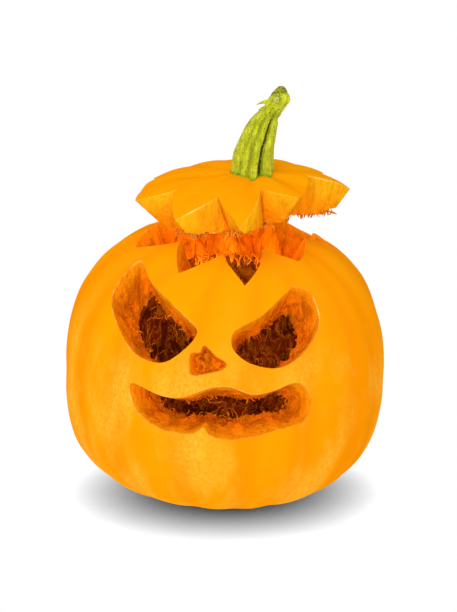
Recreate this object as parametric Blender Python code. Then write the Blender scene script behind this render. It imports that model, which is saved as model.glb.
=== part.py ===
"""Carved pumpkin lantern: a hollow fruit with a cut face, and its zig-zag lid held up off it.

Metres, +Z up. The face looks along -Y. Three pieces: shell, lid and stem.
Directions are seen from the middle of the fruit, at its widest level: side is the angle to the
right of straight ahead and rise the angle above level, both in degrees.
"""
import math

import bmesh
import bpy
from mathutils import Matrix, Vector

# Fruit
HALF_WIDTH = 0.1297            # from the middle to the skin at the widest level
HEIGHT_ABOVE = 0.1240          # from the widest level to the top
HEIGHT_BELOW = 0.1071          # from the widest level to the underside
ROUNDNESS_ABOVE = 2.33         # 2 is an ellipse, and more is squarer
ROUNDNESS_BELOW = 2.78
LEAN_RIGHT = 1.9               # degrees that the whole fruit leans to the right
FLAT_SPOT_DEPTH = 0.0020       # how much of the underside is flat, where the fruit stands
STEM_END = (32.3, 71.0)        # side and rise of the point that the ribs run up to
BLOSSOM_SHIFT = 0.25           # share of that lean that the point underneath moves back
DIMPLE_DEPTH = 0.0030
DIMPLE_ANGLE = 14.0            # degrees from the stem
RIB_GROOVES = (-158, -131, -104, -84, -61, -40, -14, 8, 28, 52, 66, 92, 117, 143, 171)
RIB_DEPTH = 0.0016
RIB_WIDTH = 7.0                # degrees
RIB_FADE = 0.7                 # power of the fall's sine: the grooves fade towards the stem
CREASES = (-171, -128, -84, 8, 62, 117)     # turns of the deep folds round the stem
CREASE_DEPTH = 0.0034
CREASE_WIDTH = 15.0            # degrees round the stem
CREASE_FALL = 15.0             # degrees down from the stem where the folds are deepest
CREASE_REACH = 10.0
LUMP_HEIGHT = 0.0009
LUMP_WAVES = (5, 6, 7)         # to the side, to the back and up

# Hollow inside
CAVITY_HALF_WIDTH = 0.1030
CAVITY_ABOVE = 0.0890
CAVITY_BELOW = 0.0800
CAVITY_ROUNDNESS = 2.40
CAVITY_LUMP = 0.0014
CAVITY_WAVES = (9, 8, 7)
WAVE_START = 1.3               # radians

# Zig-zag cut round the top: angle about the ring's own axis, and angle away from that axis.
# Every first corner is a point of the lid and a notch of the shell, every second the reverse.
RING_AXIS = (15.0, 75.0)
RING_CORNERS = (
    (-75, 36.0), (-53, 23.0), (-32, 35.5), (-10, 24.0), (6, 36.3), (29, 20.0),
    (48, 30.0), (87, 25.0), (104, 43.5), (116, 33.5), (134, 45.0), (150, 31.0),
    (168, 42.0), (186, 28.0), (203, 41.0), (219, 29.0), (236, 39.0), (252, 30.0),
)
RING_STEPS = 3                 # straight steps along each side of a tooth
KNIFE_INWARD = (0.70, 0.20)    # how far the knife runs inwards for each unit that it runs down,
                               # at the lid's points and at the shell's points
KNIFE_SIDEWAYS = 0.18          # and how far to the right
KNIFE_EXTRA = 0.55             # how much further inwards at the most undercut side
KNIFE_EXTRA_TURN = 75.0        # which is this far round the ring
KNIFE_ABOVE = 0.045
KNIFE_BELOW = 0.062
PLUG_TOP = 0.259               # where the cut plug's ends are drawn together, on the ring's axis
PLUG_BOTTOM = 0.0

# Lid, as it is held up off its seat
LID_LIFT = 0.0445
LID_SLIDE = (-0.0015, -0.0104)
LID_PIVOT = Vector((0.009, -0.068, 0.100))
LID_ROLL = -5.8                # degrees about Y: the right side is the higher one
LID_TURN = -4.7                # degrees about Z
LID_UNDERSIDE = 0.0775         # the level, on its seat, at which the lid's inside is trimmed

# Face: outlines as (side, rise) on the skin, going round
LEFT_EYE = ((-45.8, 45.9), (-49.3, 34.0), (-40.0, 22.5), (-31.2, 14.9), (-21.1, 12.9),
            (-13.8, 17.3), (-9.4, 22.8), (-11.3, 26.1), (-21.1, 32.8), (-31.9, 39.1),
            (-39.5, 44.5))
RIGHT_EYE = ((2.7, 20.5), (4.6, 24.2), (13.4, 28.1), (20.8, 32.8), (27.0, 36.4), (30.0, 37.6),
             (35.5, 34.4), (36.3, 26.4), (33.0, 20.2), (25.9, 14.2), (18.0, 11.4),
             (9.7, 13.0), (4.3, 16.6))
NOSE = ((-6.4, 19.0), (-2.6, 15.7), (0.9, 13.4), (-0.3, 11.5), (-4.5, 10.2), (-10.4, 9.3),
        (-11.4, 12.5), (-11.1, 16.3), (-8.0, 16.8))
MOUTH = ((-32.5, 4.9), (-20.8, 1.9), (-14.0, 1.8), (-4.3, 5.5), (2.6, 5.6), (9.6, 3.1),
         (17.3, 4.2), (23.8, 5.9), (28.2, 3.7), (30.8, -2.3), (27.5, -7.7), (17.5, -9.2),
         (9.7, -11.3), (2.1, -11.9), (-4.4, -10.1), (-6.6, -7.6), (-10.5, -10.0),
         (-18.3, -9.8), (-25.2, -7.3), (-31.2, -2.8))
OUTLINE_STEPS = 2
CUT_OUTSIDE = 0.050            # how far a cutter stands out of the skin
THROUGH_DEPTH = 0.042          # how deep a cutter for a through hole reaches
NOSE_DEPTH = 0.011             # the nose stops in the flesh
EYE_TAPER = (0.10, 0.10)       # share that side and rise shrink on the way to the full depth
MOUTH_TAPER = (0.22, 0.85)
NOSE_TAPER = (0.20, 0.20)
EYE_DROP = 5.0                 # degrees that the knife goes down on the way to the full depth
MOUTH_DROP = 3.0
NOSE_DROP = 0.0

# Stem, measured up from the lid
STEM_SPINE = (                 # height, shift to the right and radius, from foot to tip
    (-0.0100, 0.0, 0.0180), (0.0, 0.0, 0.0172), (0.0060, 0.0009, 0.0162),
    (0.0178, 0.0034, 0.0155), (0.0291, 0.0082, 0.0137), (0.0367, 0.0113, 0.0124),
    (0.0426, 0.0152, 0.0110), (0.0475, 0.0207, 0.0097), (0.0532, 0.0262, 0.0086),
    (0.0576, 0.0274, 0.0066), (0.0609, 0.0278, 0.0044), (0.0637, 0.0282, 0.0010),
)
STEM_GROOVES = (               # degrees to the right of the front, and share of full depth
    (-130, 0.60), (-82, 0.50), (-36, 0.45), (-8, 0.45), (27, 1.0), (78, 0.60), (128, 0.60),
    (176, 0.55),
)
STEM_GROOVE_DEPTH = 0.22       # share of the radius
STEM_GROOVE_WIDTH = 10.0       # degrees
STEM_TWIST = 18.0              # degrees from foot to tip
STEM_SINK = 0.0020             # how far the foot is below the skin around it
STEM_SIDES = 36
GAP = 0.0003

SKIN_TURNS = 64
SKIN_LEVELS = 34
CAVITY_TURNS = 40
CAVITY_LEVELS = 24

SKIN_COLOUR = (0.90, 0.36, 0.01, 1.0)
LID_COLOUR = (0.93, 0.40, 0.01, 1.0)
STEM_COLOUR = (0.36, 0.37, 0.03, 1.0)
SKIN_ROUGHNESS = 0.35
STEM_ROUGHNESS = 0.6


def direction(side, rise):
    """Unit vector from the middle of the fruit."""
    side, rise = math.radians(side), math.radians(rise)
    return Vector((math.sin(side) * math.cos(rise), -math.cos(side) * math.cos(rise),
                   math.sin(rise)))


def egg_radius(way, half_width, above, below, round_above, round_below):
    """Distance to a rounded, squarish egg along a unit vector."""
    across = math.hypot(way.x, way.y)
    height = above if way.z >= 0 else below
    power = round_above if way.z >= 0 else round_below
    return ((across / half_width) ** power + (abs(way.z) / height) ** power) ** (-1 / power)


def skin_radius(way):
    upright = Matrix.Rotation(math.radians(-LEAN_RIGHT), 3, "Y") @ way
    return egg_radius(upright, HALF_WIDTH, HEIGHT_ABOVE, HEIGHT_BELOW,
                      ROUNDNESS_ABOVE, ROUNDNESS_BELOW)


def lean(way):
    """Move the poles of a plain sphere to the stem end and the blossom end."""
    stem = direction(*STEM_END)
    axis = Vector((0, 0, 1)).cross(stem).normalized()
    angle = math.radians(90 - STEM_END[1])
    top = (0.5 + 0.5 * way.z) ** 2
    bottom = BLOSSOM_SHIFT * (0.5 - 0.5 * way.z) ** 2
    return Matrix.Rotation(angle * (top + bottom), 3, axis) @ way


def folds(turn, places, width):
    """Share of full depth at a turn round the stem, for folds at these places."""
    share = 0.0
    for place in places:
        off = (turn - place + 180) % 360 - 180
        share += math.exp(-(off / width) ** 2)
    return share


def rib_groove(turn, fall):
    """Depth of the ribs' grooves: none at the stem, most at the widest level."""
    return RIB_DEPTH * folds(turn, RIB_GROOVES, RIB_WIDTH) * math.sin(math.radians(fall)) ** RIB_FADE


def stem_crease(turn, fall):
    """Depth of the deep folds between the lobes that stand round the stem."""
    near = math.exp(-((fall - CREASE_FALL) / CREASE_REACH) ** 2)
    return CREASE_DEPTH * folds(turn, CREASES, CREASE_WIDTH) * near


def swell(way, waves):
    """Slow rise and fall of a surface over a unit vector, between -1 and 1."""
    aside, back, up = waves
    return math.sin(aside * way.x + WAVE_START) * math.sin(back * way.y) * math.cos(up * way.z)


def skin_point(way, grow=0.0):
    """Skin over a plain sphere's unit vector, whose poles are the stem and blossom ends."""
    turn = math.degrees(math.atan2(way.x, -way.y))
    fall = math.degrees(math.acos(max(-1.0, min(1.0, way.z))))
    out = lean(way)
    radius = skin_radius(out) + grow
    radius -= rib_groove(turn, fall) + stem_crease(turn, fall)
    radius -= DIMPLE_DEPTH * math.exp(-(fall / DIMPLE_ANGLE) ** 2)
    return out * (radius + LUMP_HEIGHT * swell(out, LUMP_WAVES))


def cavity_point(way):
    radius = egg_radius(way, CAVITY_HALF_WIDTH, CAVITY_ABOVE, CAVITY_BELOW,
                        CAVITY_ROUNDNESS, CAVITY_ROUNDNESS)
    return way * (radius + CAVITY_LUMP * swell(way, CAVITY_WAVES))


def finish_mesh(mesh_in_work, name, material=None):
    """Turn a bmesh into a named object with its faces pointing out."""
    bmesh.ops.recalc_face_normals(mesh_in_work, faces=mesh_in_work.faces)
    mesh = bpy.data.meshes.new(name)
    mesh_in_work.to_mesh(mesh)
    mesh_in_work.free()
    thing = bpy.data.objects.new(name, mesh)
    bpy.context.scene.collection.objects.link(thing)
    if material:
        mesh.materials.append(material)
    else:
        thing.hide_render = True
        thing.display_type = "WIRE"
    return thing


def ball(name, turns, levels, place, material=None):
    """Closed ball whose every point is put in place by a function of its direction."""
    work = bmesh.new()
    bmesh.ops.create_uvsphere(work, u_segments=turns, v_segments=levels, radius=1.0)
    for vert in work.verts:
        vert.co = place(vert.co.normalized())
    return finish_mesh(work, name, material)


def tube_between(name, rings, ends, material=None):
    """Closed solid through rings of equal length, each end drawn together at a point."""
    work = bmesh.new()
    loops = [[work.verts.new(point) for point in ring] for ring in rings]
    for lower, upper in zip(loops, loops[1:]):
        for i in range(len(lower)):
            j = (i + 1) % len(lower)
            work.faces.new((lower[i], lower[j], upper[j], upper[i]))
    for loop, point in ((loops[0], ends[0]), (loops[-1], ends[1])):
        tip = work.verts.new(point)
        for i in range(len(loop)):
            work.faces.new((loop[i], loop[(i + 1) % len(loop)], tip))
    bmesh.ops.triangulate(work, faces=work.faces)
    return finish_mesh(work, name, material)


def smooth_outline(points, steps):
    """Closed curve through the points, with a few steps from each to the next."""
    count = len(points)
    outline = []
    for i in range(count):
        before, start, end, after = (Vector(points[(i + k) % count]) for k in (-1, 0, 1, 2))
        for step in range(steps):
            t = step / steps
            outline.append(0.5 * (2 * start + (end - before) * t
                                  + (2 * before - 5 * start + 4 * end - after) * t ** 2
                                  + (3 * start - before - 3 * end + after) * t ** 3))
    return outline


def face_cutter(name, points, depth, taper, drop):
    """Solid that cuts one feature of the face, straight in towards the middle."""
    outline = smooth_outline(points, OUTLINE_STEPS)
    middle = sum(outline, Vector((0, 0))) / len(outline)
    rings = []
    centres = []
    for inward in (-CUT_OUTSIDE, 0.0, depth):
        along = max(inward, 0.0) / depth
        ring = []
        for point in outline:
            off = point - middle
            way = direction(middle.x + off.x * (1 - taper[0] * along),
                            middle.y + off.y * (1 - taper[1] * along) - drop * along)
            ring.append(way * (skin_radius(way) - inward))
        rings.append(ring)
        way = direction(middle.x, middle.y - drop * along)
        centres.append(way * (skin_radius(way) - inward))
    return tube_between(name, rings, (centres[0], centres[-1]))


def ring_directions():
    """Directions round the zig-zag cut, each with the knife's slope inwards there."""
    axis = direction(*RING_AXIS)
    right = (Vector((1, 0, 0)) - axis * axis.x).normalized()
    back = axis.cross(right)
    ways = []
    for i, start in enumerate(RING_CORNERS):
        end = RING_CORNERS[(i + 1) % len(RING_CORNERS)]
        sweep = (end[0] - start[0]) % 360
        for step in range(RING_STEPS):
            t = step / RING_STEPS
            turn = math.radians(start[0] + sweep * t)
            fall = math.radians(start[1] + (end[1] - start[1]) * t)
            across = right * math.sin(turn) - back * math.cos(turn)
            inward = KNIFE_INWARD[i % 2] * (1 - t) + KNIFE_INWARD[1 - i % 2] * t
            inward += KNIFE_EXTRA * max(0.0, math.cos(turn - math.radians(KNIFE_EXTRA_TURN))) ** 2
            ways.append((axis * math.cos(fall) + across * math.sin(fall), inward))
    return ways


def lid_cutter(name):
    """Plug with zig-zag sides that parts the lid from the shell."""
    axis = direction(*RING_AXIS)
    outer, inner = [], []
    for way, inward in ring_directions():
        point = way * skin_radius(way)
        off_axis = point - axis * point.dot(axis)
        off_axis.z = 0
        knife = off_axis.normalized() * -inward + Vector((KNIFE_SIDEWAYS, 0, -1))
        knife.normalize()
        outer.append(point - knife * KNIFE_ABOVE)
        inner.append(point + knife * KNIFE_BELOW)
    return tube_between(name, (outer, inner), (axis * PLUG_TOP, axis * PLUG_BOTTOM))


def block_below(name, level):
    """Block that takes away all that lies below a level."""
    work = bmesh.new()
    bmesh.ops.create_cube(work, size=4 * HALF_WIDTH)
    bmesh.ops.translate(work, verts=work.verts, vec=(0, 0, level - 2 * HALF_WIDTH))
    return finish_mesh(work, name)


def stem_solid(material):
    """Grooved stalk that leans to the right as it rises and hooks over at the tip."""
    way = direction(*STEM_END)
    foot = way * (skin_radius(way) - DIMPLE_DEPTH) - Vector((0, 0, STEM_SINK))
    tip_height = STEM_SPINE[-1][0]
    rings = []
    for height, shift, radius in STEM_SPINE:
        ring = []
        for side in range(STEM_SIDES):
            degrees = 360 * side / STEM_SIDES
            turn = math.radians(degrees)
            untwisted = degrees - STEM_TWIST * height / tip_height
            groove = sum(share * folds(untwisted, (place,), STEM_GROOVE_WIDTH)
                         for place, share in STEM_GROOVES)
            reach = radius * (1 - STEM_GROOVE_DEPTH * groove)
            ring.append(foot + Vector((shift + reach * math.sin(turn),
                                       -reach * math.cos(turn), height)))
        rings.append(ring)
    ends = [sum(ring, Vector()) / STEM_SIDES for ring in (rings[0], rings[-1])]
    return tube_between("stem", rings, ends, material)


def subtract(thing, cutter, operation="DIFFERENCE"):
    cut = thing.modifiers.new(cutter.name, "BOOLEAN")
    cut.object = cutter
    cut.operation = operation
    cut.solver = "EXACT"


def finish(name, colour, roughness):
    material = bpy.data.materials.new(name)
    material.use_nodes = True
    shader = material.node_tree.nodes["Principled BSDF"]
    shader.inputs["Base Color"].default_value = colour
    shader.inputs["Roughness"].default_value = roughness
    return material


def make_shell():
    shell = ball("shell", SKIN_TURNS, SKIN_LEVELS, skin_point,
                 finish("pumpkin_skin", SKIN_COLOUR, SKIN_ROUGHNESS))
    subtract(shell, ball("cavity_cutter", CAVITY_TURNS, CAVITY_LEVELS, cavity_point))
    subtract(shell, lid_cutter("shell_top_cutter"))
    subtract(shell, face_cutter("left_eye_cutter", LEFT_EYE, THROUGH_DEPTH, EYE_TAPER, EYE_DROP))
    subtract(shell, face_cutter("right_eye_cutter", RIGHT_EYE, THROUGH_DEPTH, EYE_TAPER, EYE_DROP))
    subtract(shell, face_cutter("mouth_cutter", MOUTH, THROUGH_DEPTH, MOUTH_TAPER, MOUTH_DROP))
    subtract(shell, face_cutter("nose_cutter", NOSE, NOSE_DEPTH, NOSE_TAPER, NOSE_DROP))
    subtract(shell, block_below("floor_cutter", FLAT_SPOT_DEPTH - HEIGHT_BELOW))
    return shell


def make_lid(holder):
    lid = ball("lid", SKIN_TURNS, SKIN_LEVELS, skin_point,
               finish("lid_skin", LID_COLOUR, SKIN_ROUGHNESS))
    hollow = ball("lid_cavity_cutter", CAVITY_TURNS, CAVITY_LEVELS, cavity_point)
    plug = lid_cutter("lid_side_cutter")
    subtract(lid, hollow)
    subtract(lid, plug, "INTERSECT")
    trim = block_below("lid_underside_cutter", LID_UNDERSIDE)
    subtract(lid, trim)
    stem = stem_solid(finish("stem_green", STEM_COLOUR, STEM_ROUGHNESS))
    seat = ball("stem_seat_cutter", SKIN_TURNS, SKIN_LEVELS, lambda way: skin_point(way, GAP))
    subtract(stem, seat)
    for piece in (lid, hollow, plug, trim, stem, seat):
        piece.parent = holder


def stand_on_origin(fruit):
    """Put the middle of the underside of everything's bounding box at the origin."""
    bpy.context.view_layer.update()
    ready = bpy.context.evaluated_depsgraph_get()
    corners = []
    for thing in bpy.data.objects:
        if thing.type == "MESH" and not thing.hide_render:
            shape = thing.evaluated_get(ready)
            corners += [shape.matrix_world @ vert.co for vert in shape.data.vertices]
    fruit.location.x = -(min(c.x for c in corners) + max(c.x for c in corners)) / 2
    fruit.location.y = -(min(c.y for c in corners) + max(c.y for c in corners)) / 2
    fruit.location.z = -min(c.z for c in corners)


def main():
    for old in list(bpy.data.objects):
        bpy.data.objects.remove(old)
    holder = bpy.data.objects.new("lid_holder", None)
    bpy.context.scene.collection.objects.link(holder)
    move = Matrix.Translation(LID_PIVOT + Vector((*LID_SLIDE, LID_LIFT)))
    turn = Matrix.Rotation(math.radians(LID_TURN), 4, "Z")
    roll = Matrix.Rotation(math.radians(LID_ROLL), 4, "Y")
    holder.matrix_world = move @ turn @ roll @ Matrix.Translation(-LID_PIVOT)
    make_shell()
    make_lid(holder)
    fruit = bpy.data.objects.new("fruit", None)
    bpy.context.scene.collection.objects.link(fruit)
    for thing in bpy.data.objects:
        if thing.parent is None and thing is not fruit:
            thing.parent = fruit
    stand_on_origin(fruit)


main()
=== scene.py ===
import math
import random

import bmesh
import bpy
import numpy as np
from mathutils import Matrix, Vector, noise


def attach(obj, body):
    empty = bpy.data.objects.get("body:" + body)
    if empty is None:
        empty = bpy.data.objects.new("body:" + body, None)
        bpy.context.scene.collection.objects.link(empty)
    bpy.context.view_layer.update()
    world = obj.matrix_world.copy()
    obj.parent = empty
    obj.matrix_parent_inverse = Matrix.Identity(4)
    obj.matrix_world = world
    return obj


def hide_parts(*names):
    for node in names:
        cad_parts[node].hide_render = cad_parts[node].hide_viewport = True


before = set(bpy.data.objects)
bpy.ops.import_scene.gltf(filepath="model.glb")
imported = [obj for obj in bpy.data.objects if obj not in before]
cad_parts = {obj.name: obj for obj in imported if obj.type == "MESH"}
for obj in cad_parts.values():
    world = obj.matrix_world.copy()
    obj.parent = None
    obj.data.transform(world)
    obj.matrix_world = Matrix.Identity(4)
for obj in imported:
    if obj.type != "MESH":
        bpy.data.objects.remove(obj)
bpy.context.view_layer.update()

# Carved pumpkin lantern. Metres, +Z up, the face looks along -Y. Directions are seen from the
# middle of the fruit at its widest level: side is degrees to the right of straight ahead and
# rise is degrees above level.

# Fruit
HALF_WIDTH = 0.1297
HEIGHT_ABOVE = 0.1240
HEIGHT_BELOW = 0.1071
ROUNDNESS_ABOVE = 2.33
ROUNDNESS_BELOW = 2.78
LEAN_RIGHT = 1.9               # degrees
FLAT_SPOT_DEPTH = 0.0020
STEM_END = (32.3, 71.0)        # side and rise
BLOSSOM_SHIFT = 0.25           # share of the stem end's shift
DIMPLE_DEPTH = 0.0030
DIMPLE_ANGLE = 14.0
RIB_GROOVES = (-158, -131, -104, -84, -61, -40, -14, 8, 28, 52, 66, 92, 117, 143, 171)
RIB_DEPTH = 0.0016
RIB_WIDTH = 7.0
RIB_FADE = 0.7                 # less makes the ribs run nearer to the ends
CREASES = (-171, -128, -84, 8, 62, 117)
CREASE_DEPTH = 0.0034
CREASE_WIDTH = 15.0
CREASE_FALL = 15.0
CREASE_REACH = 10.0
LUMP_HEIGHT = 0.0009
LUMP_WAVES = (5, 6, 7)
WAVE_START = 1.3
DENT_HEIGHT = 0.00035          # small unevenness of the rind
DENT_SIZE = 0.016
UNLEAN_ROUNDS = 8
MIDDLE = Vector((0.0003, 0.0, HEIGHT_BELOW - FLAT_SPOT_DEPTH))

# Hollow inside
CAVITY_HALF_WIDTH = 0.1030
CAVITY_ABOVE = 0.0890
CAVITY_BELOW = 0.0800
CAVITY_ROUNDNESS = 2.40
CAVITY_LUMP = 0.0014
CAVITY_WAVES = (9, 8, 7)
PULP_RELIEF = 0.0030           # height of the fibres left on the wall
PULP_SINK = 0.2                # share of that height that lies below the wall

# Torn fibres: size of one thread, how far it sways, and its share beside plain lumps
NOISE_SHIFT = Vector((7.3, 3.1, 5.7))
FIBRE_WIDTH = 0.0032
FIBRE_LENGTH = 0.0150
FIBRE_SWAY = 1.6
FIBRE_SWAY_SIZE = 0.020
FIBRE_POWER = 0.8
FIBRE_SHARE = 0.65
FIBRE_LUMP_SIZE = 0.0075

# Zig-zag cut round the top
RING_AXIS = (15.0, 75.0)
RING_CORNERS = (               # degrees round the ring's axis and degrees away from it
    (-75, 36.0), (-53, 23.0), (-32, 35.5), (-10, 24.0), (6, 36.3), (29, 20.0),
    (48, 30.0), (87, 25.0), (104, 43.5), (116, 33.5), (134, 45.0), (150, 31.0),
    (168, 42.0), (186, 28.0), (203, 41.0), (219, 29.0), (236, 39.0), (252, 30.0),
)
RING_STEPS = 16
KNIFE_INWARD = (0.70, 0.20)    # slope of the knife at outer and inner corners
KNIFE_SIDEWAYS = 0.18
KNIFE_EXTRA = 0.55
KNIFE_EXTRA_TURN = 75.0
KNIFE_ABOVE = 0.045
KNIFE_BELOW = 0.062
KNIFE_LEVELS_ABOVE = (-0.012, -0.004)
PLUG_TOP = 0.259
PLUG_BOTTOM = 0.0
SLIT_WIDTH = 0.032             # share of a tooth's side, at each side of a corner
SLIT_DEPTH = 0.0060            # how far the knife ran on past the corner
SLIT_FADE = 0.004              # depth below the rind over which the slit opens
CORNER_WEAR = 0.25             # share of the wear and the unevenness that a corner gets
RIM_RELIEF = 0.0010            # unevenness of the cut deep inside
RIM_RELIEF_NEAR = 0.10         # share of it near the rind
RIM_RELIEF_FROM = 0.004
RIM_RELIEF_OVER = 0.016

# Lid, as it is held up off its seat
LID_LIFT = 0.0445
LID_SLIDE = (-0.0015, -0.0104)
LID_PIVOT = Vector((0.009, -0.068, 0.100))
LID_ROLL = -5.8
LID_TURN = -4.7
LID_UNDERSIDE = 0.0775
UNDERSIDE_RELIEF = 0.0026
UNDERSIDE_FIBRES = (0.004, 0.010)
UNDERSIDE_LUMP_SIZE = 0.014

# Face
LEFT_EYE = ((-45.8, 45.9), (-49.3, 34.0), (-40.0, 22.5), (-31.2, 14.9), (-21.1, 12.9),
            (-13.8, 17.3), (-9.4, 22.8), (-11.3, 26.1), (-21.1, 32.8), (-31.9, 39.1),
            (-39.5, 44.5))
RIGHT_EYE = ((2.7, 20.5), (4.6, 24.2), (13.4, 28.1), (20.8, 32.8), (27.0, 36.4), (30.0, 37.6),
             (35.5, 34.4), (36.3, 26.4), (33.0, 20.2), (25.9, 14.2), (18.0, 11.4),
             (9.7, 13.0), (4.3, 16.6))
NOSE = ((-6.4, 19.0), (-2.6, 15.7), (0.9, 13.4), (-0.3, 11.5), (-4.5, 10.2), (-10.4, 9.3),
        (-11.4, 12.5), (-11.1, 16.3), (-8.0, 16.8))
MOUTH = ((-32.5, 4.9), (-20.8, 1.9), (-14.0, 1.8), (-4.3, 5.5), (2.6, 5.6), (9.6, 3.1),
         (17.3, 4.2), (23.8, 5.9), (28.2, 3.7), (30.8, -2.3), (27.5, -7.7), (17.5, -9.2),
         (9.7, -11.3), (2.1, -11.9), (-4.4, -10.1), (-6.6, -7.6), (-10.5, -10.0),
         (-18.3, -9.8), (-25.2, -7.3), (-31.2, -2.8))
OUTLINE_STEPS = 10
CUT_OUTSIDE = 0.050
THROUGH_DEPTH = 0.042
NOSE_DEPTH = 0.011
EYE_TAPER = (0.10, 0.10)
MOUTH_TAPER = (0.20, 0.62)
NOSE_TAPER = (0.20, 0.20)
EYE_DROP = 5.0
MOUTH_DROP = 3.0
NOSE_DROP = 0.0
CHAMFER = 0.0006               # how far the rind's edge is worn back
CHAMFER_DEPTH = 0.0009
CHAMFER_MOST = 1.5
WALL_EDGE = (-0.010, -0.003, -CHAMFER_DEPTH, 0.0, CHAMFER_DEPTH, 0.0020)
WALL_FROM = 0.0034             # below the edge, rings of points come at even steps
WALL_STEP = 0.0015
WALL_RELIEF = 0.0011           # unevenness of a cut wall deep inside
WALL_RELIEF_NEAR = 0.12        # share of it near the rind
WALL_RELIEF_OVER = 0.018
TEAR_RELIEF = 0.0042           # how far the flesh is torn where a cut comes out inside
TEAR_FROM = 0.012              # depth below the rind at which the tearing starts
TEAR_OVER = 0.012
SHRED_SIZE = np.array((0.0040, 0.0040, 0.0085))
SHRED_SHARPNESS = 2.2
TEAR_LUMP_SIZE = 0.005
TEAR_LUMPS, TEAR_SHREDS = 0.5, 0.7
NOSE_FLOOR_RINGS = 22
NOSE_FLOOR_LUMP_SIZE = 0.0034
NOSE_FLOOR_LUMPS, NOSE_FLOOR_FIBRES, NOSE_FLOOR_RISE = 0.0080, 0.0010, 0.0036

# Stem, measured up from the lid
STEM_HEIGHT = 0.0637
STEM_ROOT = 0.006
STEM_SINK = 0.0020             # how far the foot is below the skin around it
STEM_SPINE = (                 # height, shift to the right and radius
    (-0.0060, 0.0, 0.0180), (0.0, 0.0, 0.0172), (0.0060, 0.0009, 0.0162),
    (0.0178, 0.0034, 0.0155), (0.0291, 0.0082, 0.0137), (0.0367, 0.0113, 0.0124),
    (0.0426, 0.0152, 0.0110), (0.0475, 0.0207, 0.0097), (0.0532, 0.0262, 0.0086),
    (0.0576, 0.0274, 0.0066), (0.0609, 0.0278, 0.0044), (0.0637, 0.0282, 0.0010),
)
STEM_GROOVES = (               # degrees to the right of the front, and share of full depth
    (-130, 0.55), (-82, 0.45), (-36, 0.40), (-8, 0.50), (27, 1.0), (78, 0.55), (128, 0.60),
    (176, 0.50),
)
STEM_GROOVE_DEPTH = 0.30       # share of the radius
STEM_GROOVE_WIDTH = 7.5
STEM_TWIST = 18.0              # degrees from foot to tip
STEM_GROOVE_END, STEM_GROOVE_FADE = 0.050, 0.012
STEM_SMOOTHING = np.linspace(-0.0022, 0.0022, 7)
STEM_RELIEF = 0.0005
STEM_FIBRES = (0.0016, 0.010)
STEM_PITS, STEM_PIT_SIZE = 0.0004, 0.0012
KNOB_FROM, KNOB_OVER = 0.043, 0.006
KNOB_LUMPS, KNOB_LUMP_SIZE = 0.0016, 0.0034
NECK_HEIGHT, NECK_SLANT, NECK_WIDTH, NECK_DEPTH = 0.0400, 0.0040, 0.0013, 0.0022
STEM_PUSH_MOST = (-0.5, 0.6)   # shares of the radius
STEM_SCAR = np.array((0.0245, -0.0082, 0.0540))    # round scar on the knob, from the foot
SCAR_LIP, SCAR_RADIUS, SCAR_WIDTH, SCAR_PIT = 0.0012, 0.0026, 0.0010, 0.0016
STEM_FLAPS = (                 # name, root and tip of slivers torn from the end
    ("upper_flap", (0.0215, -0.0010, 0.0530), (0.0080, -0.0030, 0.0515)),
    ("lower_flap", (0.0200, 0.0000, 0.0485), (0.0092, -0.0020, 0.0475)),
)
FLAP_PLACES = (0.0, 0.25, 0.5, 0.75, 0.92)
FLAP_SIDES = 12
FLAP_ARCH, FLAP_WIDTH, FLAP_THICKNESS, FLAP_TAPER = 0.0010, 0.0030, 0.0019, 1.6
STEM_SIDES = 140
STEM_LEVELS = 130

SKIN_TURNS = 240
SKIN_LEVELS = 140
CAVITY_TURNS = 200
CAVITY_LEVELS = 120
RIND, FLESH, PULP = 0, 1, 2    # material slots of the shell and the lid
SEED = 31

# Pulp threads
THREAD_STRIDE = 0.0013
SHRED_STRIDE = 0.0011
WALL_CLUMPS = 150
WALL_STEP_DEGREES = 1.2
WALL_THREADS_TOP = (56.0, 58.0)
WALL_THREAD_SPREAD = 5.0
RIM_TUFTS = 130
LID_TUFTS = 95
EYE_SHREDS = 110
MOUTH_SHREDS = 170
THREAD_TIP = 0.35              # share of a thread's thickness that is left at its ends

# Light, floor and camera
WORLD_STRENGTH = 0.80
FLOOR_SIZE = 6.0
FLOOR_GLOW = 0.98
SHADOW_REACH = 0.033
SHADOW_SIDE = (0.35, 0.0, 1.0)
SHADOW_DEPTH = 0.72
KEY_STRENGTH = 0.45
KEY_SOFTNESS = 40.0
KEY_FROM = (-0.45, -0.60, 1.0)
FILL_STRENGTH = 1.25
FILL_SOFTNESS = 30.0
FILL_FROM = (-0.12, -1.0, 0.16)
GAP_FILL = 0.13                # small lamp in the hollow
GAP_FILL_SIZE = 0.020
GAP_FILL_COLOUR = (1.0, 0.85, 0.60)
GAP_FILL_PLACE = Vector((0.005, -0.012, 0.078))    # from the middle of the fruit
CAMERA_PLACE = Vector((0.0035, -1.1153, 0.2575))   # from the middle of the fruit
CAMERA_PITCH = 10.6
CAMERA_LENS = 82.353

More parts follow.
